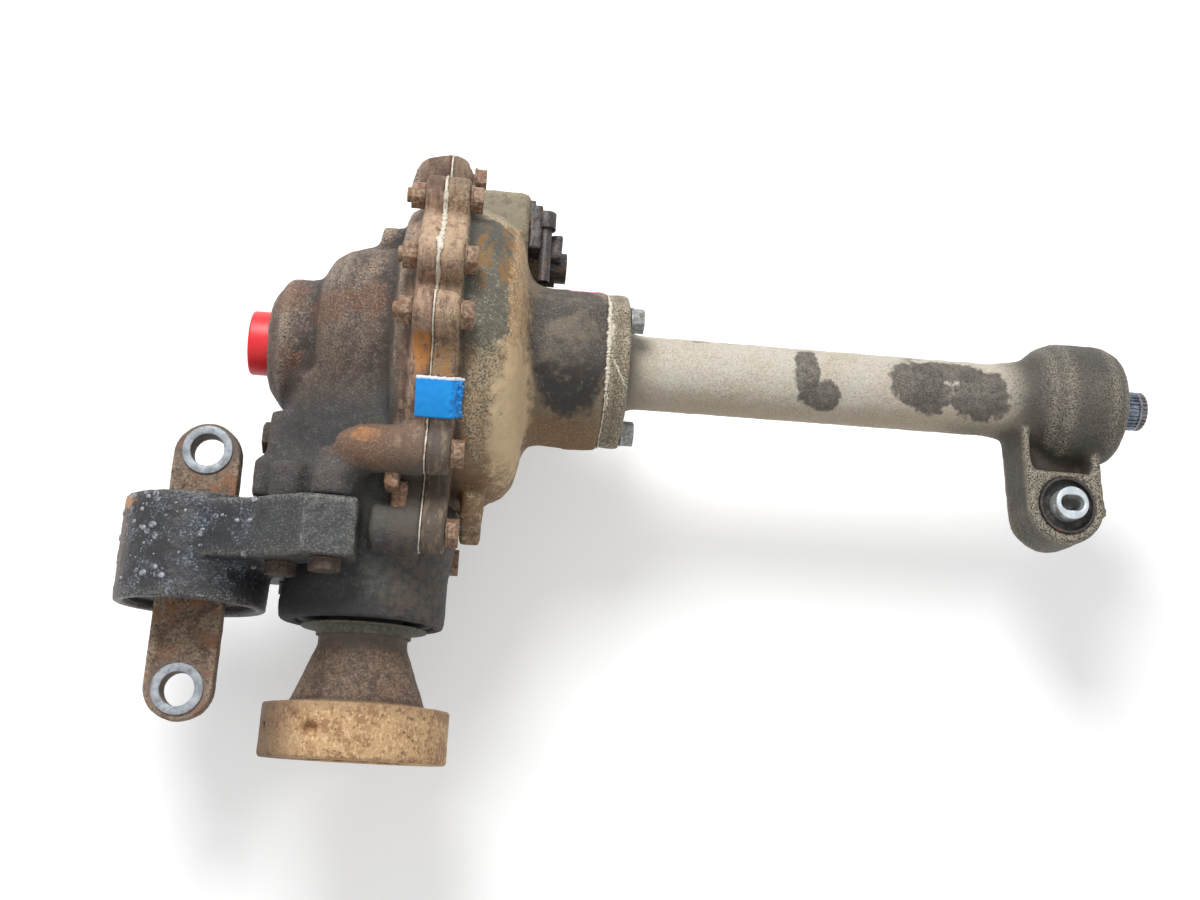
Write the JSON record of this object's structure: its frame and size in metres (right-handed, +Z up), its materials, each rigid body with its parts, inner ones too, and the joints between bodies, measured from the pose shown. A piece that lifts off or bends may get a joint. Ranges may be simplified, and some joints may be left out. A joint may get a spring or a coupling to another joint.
{
  "type": "front differential",
  "caption": "Front axle differential: bell housing and cover around bevel gears, pinion with bolt flange, axle tube to a splined output, rubber-bushed mounts on both sides.",
  "frame": {"origin": "centre of the companion flange's bolt face, on the pinion line", "axes": "+X along the axle line towards the tube's output, +Y from the companion flange to the ring gear, +Z up as the unit lies on its side"},
  "size_m": [0.704, 0.422, 0.2612],
  "materials": {
    "housing_iron": "rough cast, rusted dark brown",
    "cover_iron": "rough cast, tan and rust",
    "flange_rust": "machined steel with golden rust",
    "tube_aluminium": "sand-cast, dull",
    "bracket_iron": "black paint with pale blisters",
    "bar_steel": "rusted forged bar",
    "rusty_bolt": "rusted fastener",
    "zinc": "galvanised",
    "rubber_black": "matte",
    "plug_red": "moulded",
    "sealant": "cured bead",
    "dark_steel": "oiled dark",
    "gear_steel": "hardened and oiled",
    "case_iron": "clean cast, oiled",
    "bearing_steel": "ground"
  },
  "bodies": {
    "root": {"carrier_housing": "housing_iron", "housing_cover": "cover_iron", "cover_seal": "sealant", "cover_bolts": "rusty_bolt", "cover_nuts": "rusty_bolt", "fill_plug": "rusty_bolt", "axle_tube": "tube_aluminium", "tube_gasket": "sealant", "tube_bolts": "zinc", "tube_bush_outer": "dark_steel", "tube_bush_rubber": "rubber_black", "tube_bush_inner": "zinc", "tube_bearing_outer": "bearing_steel", "tube_bearing_balls": "bearing_steel", "tube_bearing_snap_ring": "dark_steel", "mount_bracket": "bracket_iron", "bracket_bolts": "rusty_bolt", "mount_bush_sleeve": "dark_steel", "mount_bush_rubber": "rubber_black", "mount_bush_bar": "bar_steel", "bar_washers": "zinc", "output_seals": "rubber_black", "breather_bracket": "dark_steel", "breather_pipe": "dark_steel", "breather_valve": "dark_steel", "left_bearing_cup": "bearing_steel", "right_bearing_cup": "bearing_steel", "carrier_shims": "gear_steel", "pinion_head_cup": "bearing_steel", "pinion_tail_cup": "bearing_steel", "pinion_cup_spacer": "gear_steel", "pinion_lock_ring": "gear_steel", "pinion_seal": "rubber_black"},
    "carrier": {"diff_case": "case_iron", "ring_gear": "gear_steel", "ring_gear_bolts": "gear_steel", "spider_pin": "gear_steel", "spider_lock_pin": "gear_steel", "side_thrust_washers": "gear_steel", "left_bearing_cone": "bearing_steel", "right_bearing_cone": "bearing_steel"},
    "pinion": {"pinion_gear": "gear_steel", "pinion_head_cone": "bearing_steel", "pinion_tail_cone": "bearing_steel", "crush_sleeve": "gear_steel", "pinion_flange": "flange_rust", "dust_shield": "dark_steel", "pinion_nut": "dark_steel"},
    "right_output": {"right_side_gear": "gear_steel", "right_axle_shaft": "dark_steel", "shaft_clip": "dark_steel", "tube_bearing_inner": "bearing_steel"},
    "left_output": {"left_side_gear": "gear_steel"},
    "spider_a": {"spider_gear_a": "gear_steel"},
    "spider_b": {"spider_gear_b": "gear_steel"},
    "left_rollers": {"left_bearing_rollers": "bearing_steel"},
    "right_rollers": {"right_bearing_rollers": "bearing_steel"},
    "head_rollers": {"pinion_head_rollers": "bearing_steel"},
    "tail_rollers": {"pinion_tail_rollers": "bearing_steel"},
    "red_plug": {"transport_plug": "plug_red"}
  },
  "joints": [
    {"name": "carrier_spin", "type": "hinge", "parent": "root", "child": "carrier", "pos_m": [0, 0.276, 0], "axis": [1, 0, 0], "continuous": true},
    {"name": "pinion_spin", "type": "hinge", "parent": "root", "child": "pinion", "pos_m": [0, 0.276, 0], "axis": [0, 1, 0], "continuous": true},
    {"name": "right_output_spin", "type": "hinge", "parent": "carrier", "child": "right_output", "pos_m": [0, 0.276, 0], "axis": [1, 0, 0], "continuous": true},
    {"name": "left_output_spin", "type": "hinge", "parent": "carrier", "child": "left_output", "pos_m": [0, 0.276, 0], "axis": [1, 0, 0], "continuous": true},
    {"name": "spider_a_spin", "type": "hinge", "parent": "carrier", "child": "spider_a", "pos_m": [0, 0.276, 0], "axis": [0, 0, 1], "continuous": true},
    {"name": "spider_b_spin", "type": "hinge", "parent": "carrier", "child": "spider_b", "pos_m": [0, 0.276, 0], "axis": [0, 0, 1], "continuous": true},
    {"name": "left_rollers_spin", "type": "hinge", "parent": "root", "child": "left_rollers", "pos_m": [0, 0.276, 0], "axis": [1, 0, 0], "continuous": true},
    {"name": "right_rollers_spin", "type": "hinge", "parent": "root", "child": "right_rollers", "pos_m": [0, 0.276, 0], "axis": [1, 0, 0], "continuous": true},
    {"name": "head_rollers_spin", "type": "hinge", "parent": "root", "child": "head_rollers", "pos_m": [0, 0.276, 0], "axis": [0, 1, 0], "continuous": true},
    {"name": "tail_rollers_spin", "type": "hinge", "parent": "root", "child": "tail_rollers", "pos_m": [0, 0.276, 0], "axis": [0, 1, 0], "continuous": true},
    {"name": "plug_slide", "type": "slide", "parent": "root", "child": "red_plug", "axis": [-1, 0, 0], "range_m": [0, 0.045]}
  ],
  "couplings": [
    {"joint": "pinion_spin", "follows": "carrier_spin", "ratio": 3.7273},
    {"joint": "left_output_spin", "follows": "right_output_spin", "ratio": -1},
    {"joint": "spider_a_spin", "follows": "right_output_spin", "ratio": -1.6},
    {"joint": "spider_b_spin", "follows": "right_output_spin", "ratio": 1.6},
    {"joint": "left_rollers_spin", "follows": "carrier_spin", "ratio": 0.44154},
    {"joint": "right_rollers_spin", "follows": "carrier_spin", "ratio": 0.44154},
    {"joint": "head_rollers_spin", "follows": "carrier_spin", "ratio": 1.5774},
    {"joint": "tail_rollers_spin", "follows": "carrier_spin", "ratio": 1.5655}
  ]
}
